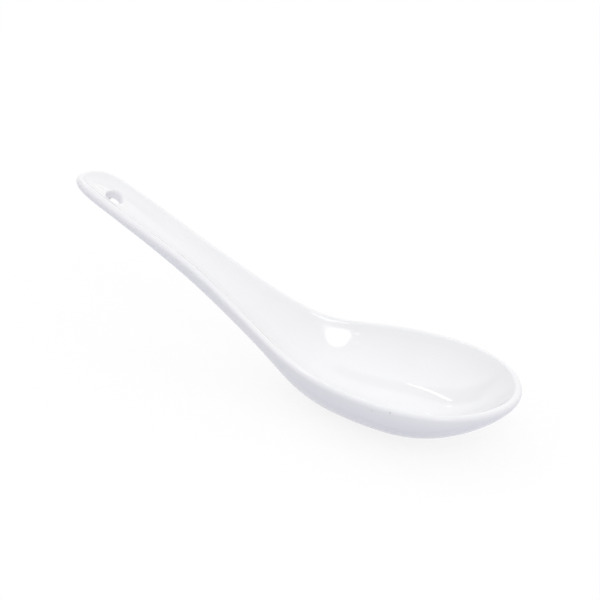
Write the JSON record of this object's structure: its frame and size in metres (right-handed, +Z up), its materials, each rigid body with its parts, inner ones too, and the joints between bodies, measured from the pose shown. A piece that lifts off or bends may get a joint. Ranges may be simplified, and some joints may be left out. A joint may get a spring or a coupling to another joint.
{
  "type": "chinese soup spoon",
  "caption": "Deep oval-bowled porcelain soup spoon with a rising trough-shaped handle, a rounded raised rim and a hanging hole, standing on a small flat foot.",
  "frame": {"origin": "bottom centre of the bounding box, on the plane that the foot stands on", "axes": "+X along the length from the handle's end to the bowl's tip, +Y across the spoon, +Z up"},
  "size_m": [0.142, 0.0458, 0.0477],
  "materials": {
    "biscuit_porcelain": "fired and unglazed, matt, bare only on the foot",
    "white_glaze": "clear glossy glaze over white porcelain, faintly cool"
  },
  "bodies": {
    "root": {"porcelain_body": "biscuit_porcelain", "glaze_coat": "white_glaze"}
  },
  "joints": []
}
